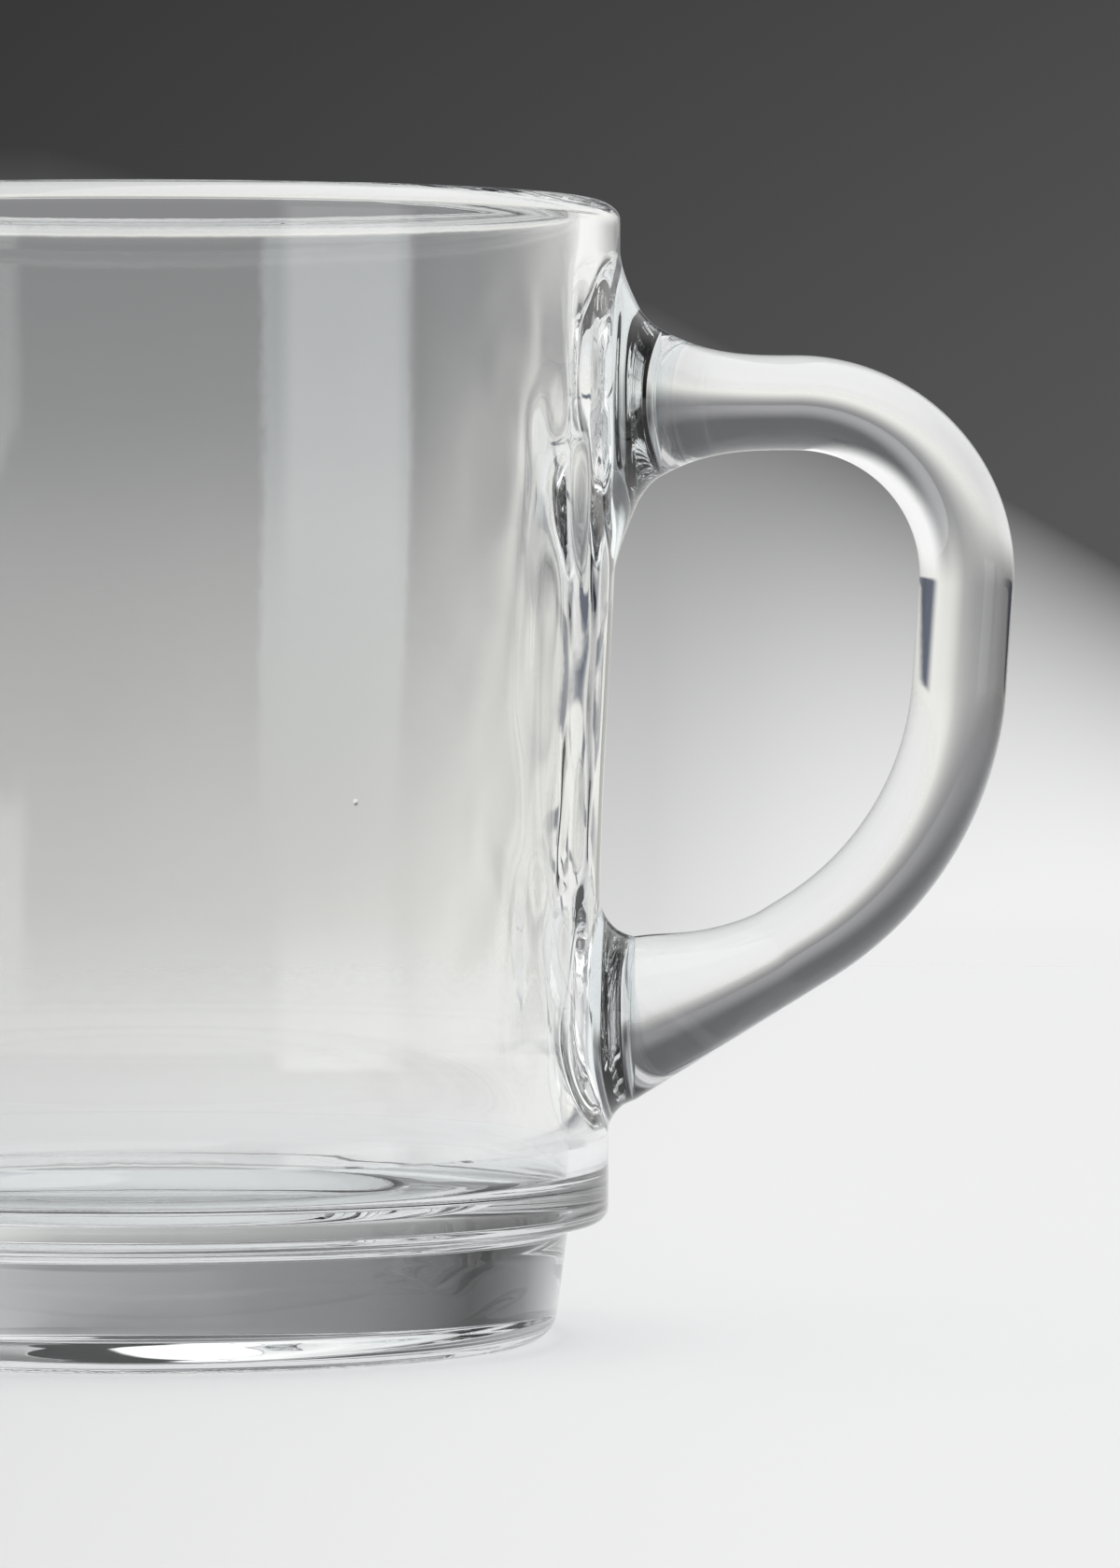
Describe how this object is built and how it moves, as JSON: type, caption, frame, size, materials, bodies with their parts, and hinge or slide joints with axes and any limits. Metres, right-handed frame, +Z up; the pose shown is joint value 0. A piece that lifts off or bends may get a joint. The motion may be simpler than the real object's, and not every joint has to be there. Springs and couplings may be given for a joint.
{
  "type": "glass mug",
  "caption": "Clear glass mug that stacks, with a slightly waisted wall, a thick stepped base and a D-shaped handle joined on hot.",
  "frame": {"origin": "centre of the foot, on the table and on the bowl's axis", "axes": "+Z up along the bowl's axis, +X towards the handle, +Y to the left of someone who looks along +X"},
  "size_m": [0.1052, 0.0744, 0.089],
  "materials": {
    "body_glass": "clear, fire polished",
    "handle_glass": "clear, fire polished",
    "weld_glass": "clear, drawn out hot"
  },
  "bodies": {
    "root": {"bowl": "body_glass", "base": "body_glass", "handle": "handle_glass", "upper_weld_pad": "weld_glass", "lower_weld_pad": "weld_glass"}
  },
  "joints": []
}
